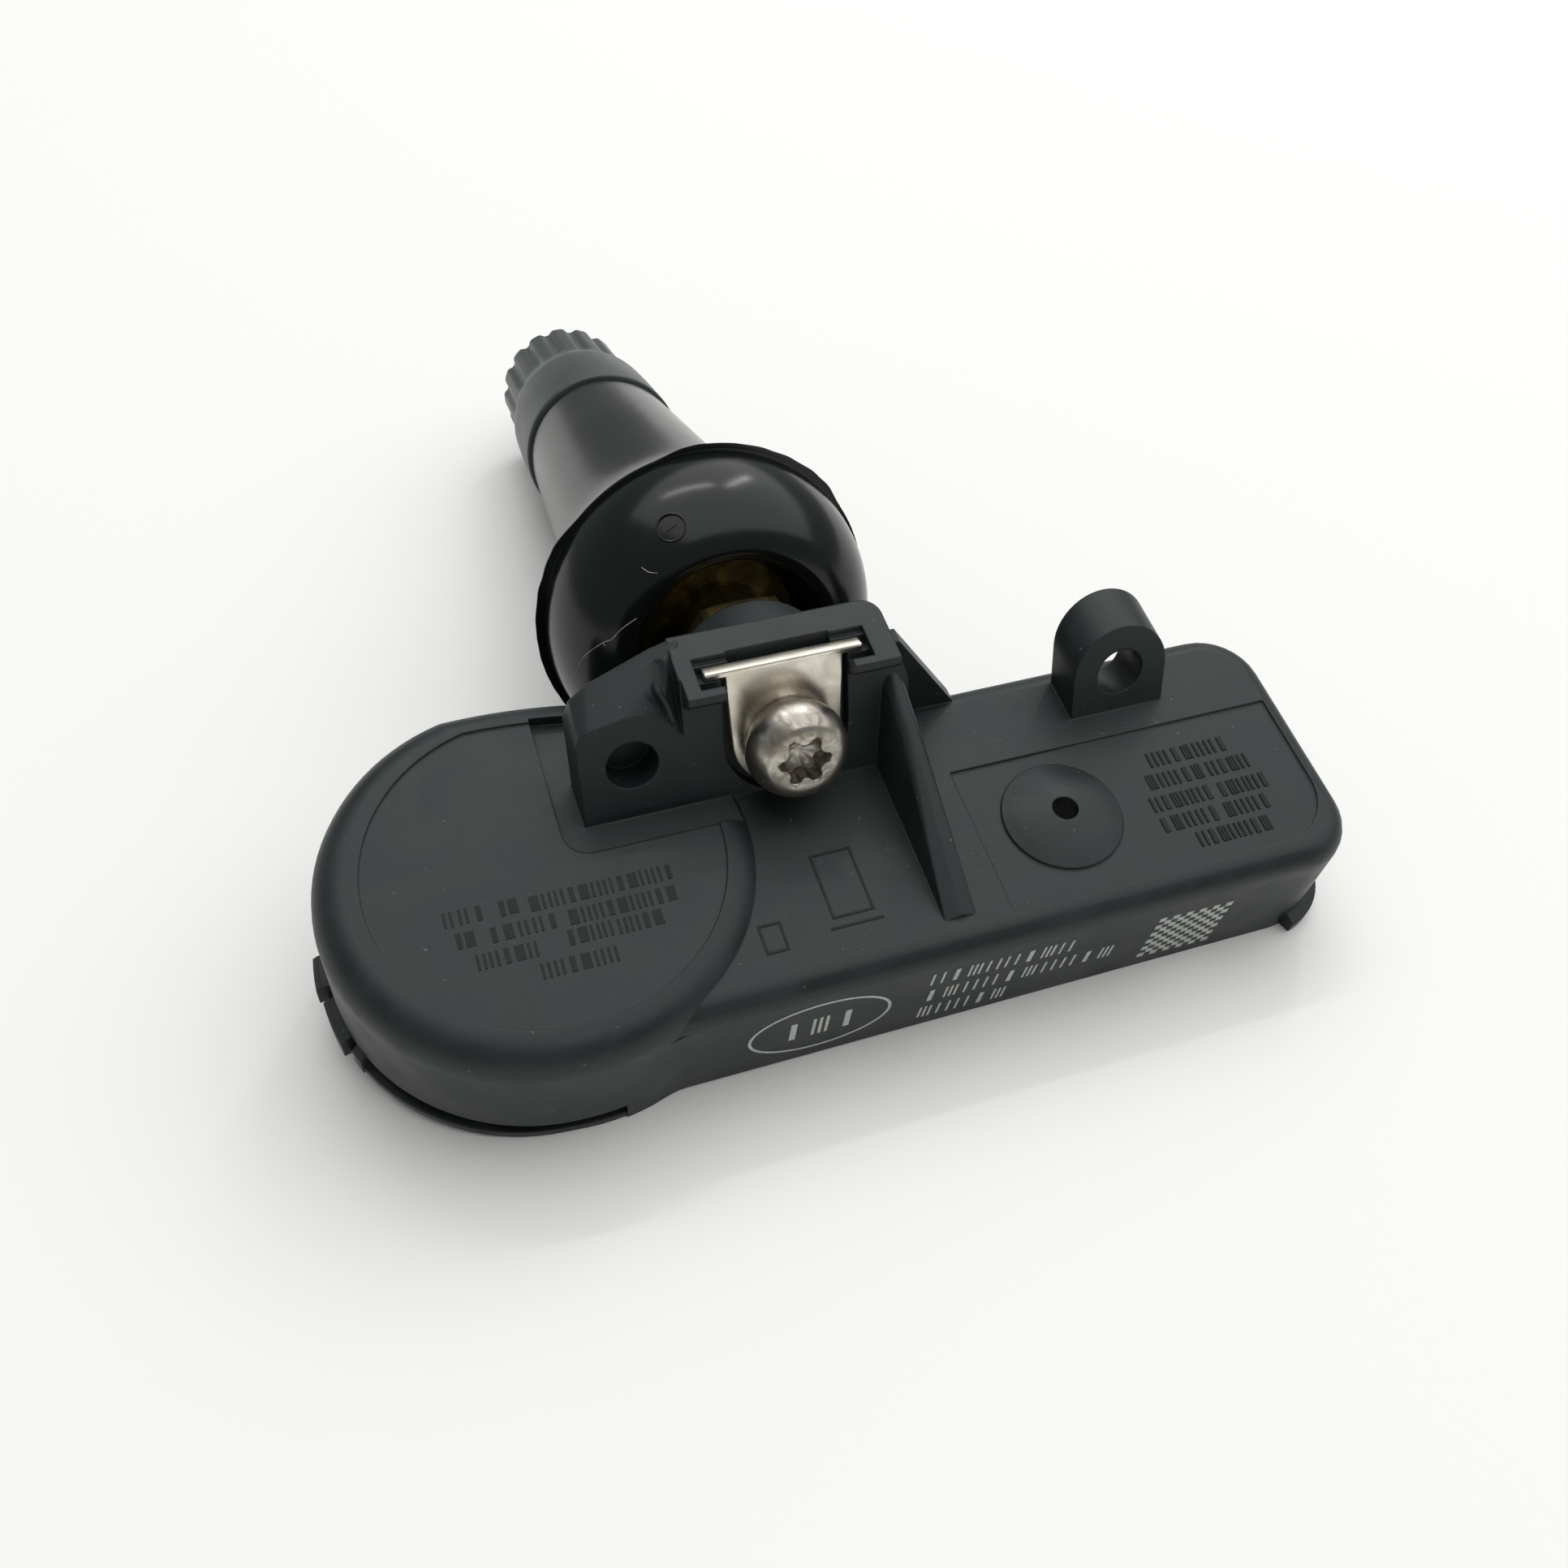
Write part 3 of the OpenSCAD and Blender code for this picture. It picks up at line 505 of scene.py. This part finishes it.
threadOutline = fillIn([(stem["crest"], stem["threadFrom"]), (stem["crest"], 52.9)], 0.08)
threadOutline += [(3.8, 52.95), (3.25, stem["end"]), (2.7, stem["end"]), (stem["chamber"], 53.3)]
threadOutline += [(stem["chamber"], stem["seat"] + 0.8), (stem["bore"], stem["seat"])]
threadOutline += [(stem["bore"], stem["threadFrom"])]
threadMesh = spinOutline(threadOutline, stem["steps"], closed=True)
reshape(threadMesh, stemReach)
addPiece("StemThread", threadMesh, onValve, stemBrass, "stem_brass", sharp=40)
print("stem made")

# The core's spring, which shortens from its foot as the pin is pressed in the real valve, is copied here as
# it stands, with a mesh of its own
springMesh = mergedCopy("core_spring", onValve)
coil = replaceNode("CoreSpring", "core_spring", springMesh, onValve, sharp=60, outwards=False)
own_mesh(coil)
print("spring made")

# Screw: domed head with a six-lobed drive, and a rolled thread; "driveReach" is the drive's largest radius
# and depth, and "threadReach" the thread's start and end
screw = {"lobes": 6, "lobeRadius": 1.18, "lobe": 0.19, "lobeShape": 0.6, "driveReach": (1.1, 1.8),
         "pitch": 0.5, "threadDepth": 0.22, "threadReach": (3.15, 11.5), "core": 1.4, "steps": 120,
         "drive": [(0, 1.5), (0.5, 1.42), (0.95, 1.3), (1.0, 1.2), (1.0, 0.25), (1.02, 0.17), (1.06, 0.12)],
         "head": [(1.8, 0.12), (2.12, 0.25), (2.48, 0.68), (2.71, 1.35), (2.72, 1.95), (2.5, 2.24),
                  (2.31, 2.45)],
         "thread": [(1.45, 3.2), (1.45, 11.4)]}


def screwReach(radius, along, angle):
    driveRadius, driveDepth = screw["driveReach"]
    if radius < driveRadius and along < driveDepth:
        wave = math.cos(screw["lobes"] * angle)
        swell = math.copysign(abs(wave) ** screw["lobeShape"], wave)
        return radius * (screw["lobeRadius"] + screw["lobe"] * swell)
    threadStart, threadEnd = screw["threadReach"]
    if threadStart < along < threadEnd and radius > screw["core"]:
        return radius - screw["threadDepth"] * (1 - threadHeight(along, angle, screw["pitch"]))
    return radius


screwOutline = screw["drive"] + [(1.62, 0.1)] + curveThrough(screw["head"], 4)
screwOutline += [(2.3, 2.9), (2.22, 2.98), (1.5, 3.0), (1.45, 3.1)]
screwOutline += fillIn(screw["thread"], 0.06) + [(1.2, 11.6), (0.9, 12.0), (0, 12.1)]
screwMesh = spinOutline(screwOutline, screw["steps"])
reshape(screwMesh, screwReach)
replaceNode("ValveScrew", "valve_screw", screwMesh, onValve, sharp=38)
print("screw made")

# Rubber: bulb with a sunk front, sharp parting line, rim groove and tapering stem
rubber = {"bulbFront": 12.15, "flange": 18.0, "flangeRadius": 10.1, "neck": 5.9,
          "bulbAngles": (6, 90), "bulbSteps": 40, "lip": 0.25, "steps": 160,
          "sunkFront": [(4.75, 15), (5.15, 14.1), (5.5, 12.9), (5.75, 12.4)],
          "flangeBack": [(9.3, 18.3), (7.6, 18.65), (6.4, 18.95)],
          "shoulder": [(6.6, 21.42), (7, 21.56), (7.32, 21.95), (7.45, 22.7), (7.35, 23.5), (6.98, 25)],
          "taper": [(6.67, 27.3), (6.3, 32), (5.9, 37.75), (5.5, 43.5)]}


# The bulb's section is a quarter of an ellipse; share runs from its front to the parting line, where
# the flange stands out by its lip
def bulbPoint(share):
    first, last = rubber["bulbAngles"]
    angle = math.radians(first + (last - first) * share)
    wide = rubber["flangeRadius"] - rubber["neck"] - rubber["lip"]
    deep = rubber["flange"] - rubber["bulbFront"]
    return rubber["neck"] + wide * math.sin(angle), rubber["flange"] - deep * math.cos(angle)


rubberOutline = [(4.6, 16.5), (4.6, 15.35)] + curveThrough(rubber["sunkFront"], 4)
rubberOutline += [bulbPoint(i / rubber["bulbSteps"]) for i in range(rubber["bulbSteps"] + 1)]
rubberOutline += [(10.08, 18.02), (10.1, 18.1), (10.08, 18.18)]
rubberOutline += curveThrough(rubber["flangeBack"], 4)
rubberOutline += arcPoints((6.3, 19.35), 0.4, 250, 180, 5) + arcPoints((6.3, 20.9), 0.4, 180, 110, 5)
rubberOutline += curveThrough(rubber["shoulder"] + rubber["taper"], 6)
rubberOutline += arcPoints((5.15, 43.66), 0.34, 0, 90, 4)
rubberOutline += [(3.85, 44), (3.85, 42.8), (3.55, 42.5), (2.9, 42.5), (2.9, 16.5)]
rubberMesh = spinOutline(rubberOutline, rubber["steps"], closed=True)
replaceNode("ValveRubber", "rubber_body", rubberMesh, onValve, sharp=40)

# Flash left at the parting line: thin uneven fins with a gap between them, each from one angle to another
flash = {"width": 0.26, "thickness": 0.1, "uneven": 0.05, "root": 0.4, "lift": 0.05, "step": 1.5, "fade": 12,
         "fins": {"FlashLeft": (135, 232), "FlashRight": (30, 103)}}


def buildFlash(start, end):
    bm = bmesh.new()
    inner, outer = rubber["flangeRadius"] - flash["root"], rubber["flangeRadius"]
    low = rubber["flange"] + flash["lift"]
    high = low + flash["thickness"]
    section = ((inner, low), (outer, low), (outer, high), (inner, high))
    corners = [bm.verts.new((radius, along, 0)) for radius, along in section]
    loop = [bm.edges.new((first, second)) for first, second in zip(corners, corners[1:] + corners[:1])]
    bmesh.ops.rotate(bm, verts=corners, cent=(0, 0, 0), matrix=turn(-start, "Y").to_3x3())
    steps = round((end - start) / flash["step"])
    bmesh.ops.spin(bm, geom=corners + loop, cent=(0, 0, 0), axis=(0, 1, 0), dvec=(0, 0, 0),
                   angle=-math.radians(end - start), steps=steps, use_duplicate=False)
    bmesh.ops.holes_fill(bm, edges=[edge for edge in bm.edges if edge.is_boundary], sides=4)

    def reach(radius, along, angle):
        if radius < outer - 0.1:
            return radius
        degrees = math.degrees(angle) % 360
        shown = smoothStep(degrees, start, start + flash["fade"])
        shown *= 1 - smoothStep(degrees, end - flash["fade"], end)
        return radius + shown * (flash["width"] + flash["uneven"] * noise.noise((degrees * 0.2, start, 0)))

    reshape(bm, reach)
    return bm


for name, (start, end) in flash["fins"].items():
    addPiece(name, buildFlash(start, end), onValve, valveRubber, "valve_rubber")
print("rubber made")


# Lint on the rubber, and a ring that the mould leaves in the bulb; places are in the valve's frame
dirt = {"radius": 0.022, "fibres": (
    ((-8.95, 14.26, -0.55), (-8.47, 13.57, 0.9), (-7.46, 12.77, 2.0), (-7.0, 12.53, 2.24),
     (-6.4, 12.34, 2.87), (-5.55, 12.17, 3.44)),
    ((-7.46, 12.77, 2.0), (-7.3, 12.69, 1.78), (-7.12, 12.6, 1.9)),
    ((-4.82, 12.82, 6.13), (-4.5, 12.55, 5.9), (-4.07, 12.38, 5.84)))}
bulbMark = {"place": (-2.85, 13.42, 7.88), "facing": (-0.26, -0.64, 0.72), "radius": 0.8, "tube": 0.05,
            "bar": (0.7, 0.12, 0.1), "turn": 35, "steps": 48}


# Turns the Z axis to a direction
def faceTo(direction):
    return Vector(direction).to_track_quat("Z", "Y").to_matrix().to_4x4()


# A thin round fibre through the points
def addFibre(bm, points, radius):
    path = [Vector(point) for point in curveThrough(list(points), 5)]
    firstPlace = move(*path[0]) @ faceTo(path[1] - path[0])
    ring = bmesh.ops.create_circle(bm, segments=5, radius=radius, matrix=firstPlace)["verts"]
    edges = list({edge for vert in ring for edge in vert.link_edges})
    for first, second in zip(path, path[1:]):
        made = bmesh.ops.extrude_edge_only(bm, edges=edges)["geom"]
        tip = [part for part in made if isinstance(part, bmesh.types.BMVert)]
        sides = [part for part in made if isinstance(part, bmesh.types.BMEdge)]
        edges = [edge for edge in sides if all(vert in tip for vert in edge.verts)]
        bmesh.ops.translate(bm, verts=tip, vec=second - first)


lintMesh = bmesh.new()
for points in dirt["fibres"]:
    addFibre(lintMesh, points, dirt["radius"])
bmesh.ops.holes_fill(lintMesh, edges=[edge for edge in lintMesh.edges if edge.is_boundary], sides=5)
addPiece("Lint", lintMesh, onValve, lint, "valve_rubber")

markMesh = bmesh.new()
tubePlace = move(bulbMark["radius"], 0, 0) @ turn(90, "X")
tube = bmesh.ops.create_circle(markMesh, segments=8, radius=bulbMark["tube"], matrix=tubePlace)["verts"]
bmesh.ops.spin(markMesh, geom=tube + markMesh.edges[:], cent=(0, 0, 0), axis=(0, 0, 1), dvec=(0, 0, 0),
               angle=2 * math.pi, steps=bulbMark["steps"], use_merge=True, use_duplicate=False)
barSize = Matrix.Diagonal((*bulbMark["bar"], 1))
bmesh.ops.create_cube(markMesh, size=1, matrix=turn(bulbMark["turn"], "Z") @ barSize)
markPlace = onValve @ move(*bulbMark["place"]) @ faceTo(bulbMark["facing"])
addPiece("BulbMark", markMesh, markPlace, valveRubber, "valve_rubber")
print("dirt laid")


# Markings are plain bars and outlines; each is drawn flat and laid on a face of the housing
def addBar(bm, x, y, wide, high, thick, sunk=0.03):
    size = Matrix.Diagonal((wide, high, thick + sunk, 1))
    bmesh.ops.create_cube(bm, size=1, matrix=move(x + wide / 2, y + high / 2, (thick - sunk) / 2) @ size)


def addOutline(bm, x, y, wide, high, thick, line):
    inner = high - 2 * line
    addBar(bm, x, y, wide, line, thick)
    addBar(bm, x, y + high - line, wide, line, thick)
    addBar(bm, x, y + line, line, inner, thick)
    addBar(bm, x + wide - line, y + line, line, inner, thick)


# A row of thin and thick upright bars in groups from start to end; size is a group's
# (width, height, thickness, line, pitch)
def addRow(bm, start, end, y, size):
    wide, high, thick, line, pitch = size
    count = max(1, round((end - start) / pitch))
    for k in range(count):
        x = start + (end - start - wide) * k / max(1, count - 1)
        kind = (5 * k + int(10 * abs(start + y))) % 4
        if kind == 1:
            addBar(bm, x + wide / 2 - line, y, line * 2, high, thick)
            continue
        addBar(bm, x, y, line, high, thick)
        addBar(bm, x + wide - line, y, line, high, thick)
        if kind == 2:
            addBar(bm, x + (wide - line) / 2, y, line, high, thick)


# Raised bars on the battery end and on the panel: rows of (start, end, place across the face)
raisedRows = {
    "EndRows": {"size": (0.46, 0.85, 0.035, 0.13, 0.62), "top": 8.48, "rows": (
        (-19.4, -17.4, -2.55), (-16.7, -15.7, -2.6), (-15.1, -7.7, -2.75), (-19.1, -18.1, -3.85),
        (-17.4, -14.0, -3.95), (-13.4, -7.9, -4.0), (-18.3, -15.3, -5.25), (-13.8, -11.5, -5.1),
        (-11.2, -8.9, -5.15), (-15.4, -11.6, -6.55))},
    "PanelRows": {"size": (0.5, 0.92, 0.06, 0.14, 0.66), "top": 7.68, "rows": (
        (20.1, 25.0, -2.55), (19.4, 22.8, -3.93), (23.2, 25.7, -3.95), (18.95, 22.7, -5.35),
        (23.1, 26.2, -5.4), (18.85, 22.4, -6.7), (22.9, 25.6, -6.7), (20.5, 24.95, -8.05))}}
for name, face in raisedRows.items():
    raisedMesh = bmesh.new()
    for start, end, y in face["rows"]:
        addRow(raisedMesh, start, end, y, face["size"])
    addPiece(name, raisedMesh, lying @ move(0, 0, face["top"]), raisedNylonPaintedShade, "housing_nylon")

# Raised outlines between the battery end and the gusset: (x, y, width, height), with one bar below the first
topMarks = {"thickness": 0.05, "line": 0.13, "top": 7.8, "bar": (-0.8, -7.5, 2.9),
            "outlines": ((-0.5, -6.9, 2.3, 3.9), (-4.4, -7.95, 1.25, 1.7))}
topMesh = bmesh.new()
for outline in topMarks["outlines"]:
    addOutline(topMesh, *outline, topMarks["thickness"], topMarks["line"])
addBar(topMesh, *topMarks["bar"], topMarks["line"], topMarks["thickness"])
addPiece("TopOutlines", topMesh, lying @ move(0, 0, topMarks["top"]), raisedNylonPaintedShade, "housing_nylon")

# Pale marks on the front wall: an oval with three groups of bars, three rows of bars and a checker square
wallMarks = {"wall": -10.5, "thickness": 0.012, "tilt": -2.6, "rowsFrom": 3.75, "rowsLift": 0.5,
             "rows": ((3.75, 12.0, 4.75), (3.75, 15.0, 2.85), (3.8, 8.95, 0.95)),
             "size": (0.72, 1.2, 0.012, 0.13, 1.08)}
oval = {"place": (-1.95, 3.5), "reach": (3.96, 2.55), "line": 0.17, "segments": 96,
        "groups": 3, "from": -1.95, "pitch": 1.5, "length": 0.95, "low": -0.95,
        "group": (0.9, 1.85, 0.012, 0.17, 0.9)}
square = {"place": (17.3, 1.0), "size": (4.6, 4.35), "cells": 11}
frontWall = lying @ move(0, wallMarks["wall"], 0) @ turn(90, "X")
wallTurn = turn(wallMarks["tilt"], "Z")

ovalMesh = bmesh.new()
bmesh.ops.create_circle(ovalMesh, cap_ends=True, segments=oval["segments"], radius=1,
                        matrix=Matrix.Diagonal((*oval["reach"], 1, 1)))
middle = ovalMesh.faces[:]
bmesh.ops.inset_region(ovalMesh, faces=middle, thickness=oval["line"], use_boundary=True,
                       use_even_offset=True)
bmesh.ops.delete(ovalMesh, geom=middle, context="FACES")
raised = bmesh.ops.extrude_face_region(ovalMesh, geom=ovalMesh.faces[:], use_keep_orig=True)
raisedVerts = [part for part in raised["geom"] if isinstance(part, bmesh.types.BMVert)]
bmesh.ops.translate(ovalMesh, verts=raisedVerts, vec=(0, 0, wallMarks["thickness"]))
for k in range(oval["groups"]):
    start = oval["from"] + oval["pitch"] * k
    addRow(ovalMesh, start, start + oval["length"], oval["low"], oval["group"])
addPiece("OvalMark", ovalMesh, frontWall @ move(*oval["place"], 0), laserMark, "housing_nylon")

rowMesh = bmesh.new()
rowsFrom, rowsLift = wallMarks["rowsFrom"], wallMarks["rowsLift"]
for start, end, y in wallMarks["rows"]:
    addRow(rowMesh, start - rowsFrom, end - rowsFrom, y + rowsLift, wallMarks["size"])
rowPlace = frontWall @ move(rowsFrom, -rowsLift, 0) @ wallTurn
addPiece("RowMarks", rowMesh, rowPlace, laserMark, "housing_nylon")

cellWide, cellHigh = (size / square["cells"] for size in square["size"])
squareMesh = bmesh.new()
for i in range(square["cells"]):
    for j in range(square["cells"]):
        if (i + j) % 2 == 0:
            addBar(squareMesh, i * cellWide, j * cellHigh, cellWide, cellHigh, wallMarks["thickness"])
squarePlace = frontWall @ move(*square["place"], 0) @ wallTurn
addPiece("SquareMark", squareMesh, squarePlace, laserMark, "housing_nylon")
print("marks made")

# Floor: matt white paper, which keeps the shadow; it reaches this many metres each way
table = {"reach": 3.0}
paper = newMaterial("White paper", "#f7f7f4", Roughness=0.9, Specular_IOR_Level=0.2)[0]
floorMesh = bmesh.new()
bmesh.ops.create_grid(floorMesh, x_segments=1, y_segments=1, size=table["reach"])
floorData = bpy.data.meshes.new("Floor")
floorMesh.to_mesh(floorData)
floorMesh.free()
floorData.materials.append(paper)
floor = bpy.data.objects.new("Floor", floorData)
bpy.context.scene.collection.objects.link(floor)

# Room: a dim pale world
room = {"colour": "#f4f7f6", "strength": 0.3}
world = bpy.data.worlds.new("Room")
world.use_nodes = True
bpy.context.scene.world = world
background = world.node_tree.nodes["Background"]
background.inputs["Color"].default_value = colour(room["colour"])
background.inputs["Strength"].default_value = room["strength"]

# Lamps face the sensor: a wide ceiling, and two narrow strips that leave the streaks on the rubber;
# places and sizes are in metres, power in watts, lean in degrees
lamps = {
    "Ceiling": {"place": (0.27, 0.1, 0.75), "size": (1.75, 1.55), "power": 10.7, "lean": 0},
    "StripLeft": {"place": (0.03, 0.48, 0.86), "size": (0.45, 0.02), "power": 0.7, "lean": 0},
    "StripRight": {"place": (0.46, 0.50, 0.73), "size": (0.35, 0.02), "power": 0.6, "lean": 90}}
for name, lampSet in lamps.items():
    light = bpy.data.lights.new(name, "AREA")
    light.shape = "RECTANGLE"
    light.size, light.size_y = lampSet["size"]
    light.energy = lampSet["power"]
    lamp = bpy.data.objects.new(name, light)
    lamp.matrix_world = move(*lampSet["place"]) @ faceTo(lampSet["place"]) @ turn(lampSet["lean"], "Z")
    bpy.context.scene.collection.objects.link(lamp)

# Camera at the photograph's angle: its lens and sensor in millimetres, its near limit in metres,
# its place and its turns about X, Y and Z in the housing's frame
cameraSet = {"lens": 35.13, "sensor": 36, "near": 0.005,
             "place": (-20.766, -40.380, 75.882), "turns": (34.1609, -5.1097, -18.4865)}
camera = bpy.data.objects.new("Camera", bpy.data.cameras.new("Camera"))
camera.data.sensor_width = cameraSet["sensor"]
camera.data.lens = cameraSet["lens"]
camera.data.clip_start = cameraSet["near"]
tipX, tipY, tipZ = cameraSet["turns"]
facing = turn(tipZ, "Z") @ turn(tipY, "Y") @ turn(tipX, "X")
camera.matrix_world = (lying @ move(*cameraSet["place"]) @ facing).normalized()
bpy.context.scene.collection.objects.link(camera)
bpy.context.scene.camera = camera
bpy.context.scene.view_settings.view_transform = "Standard"
print("stage set")

print("scene ready")
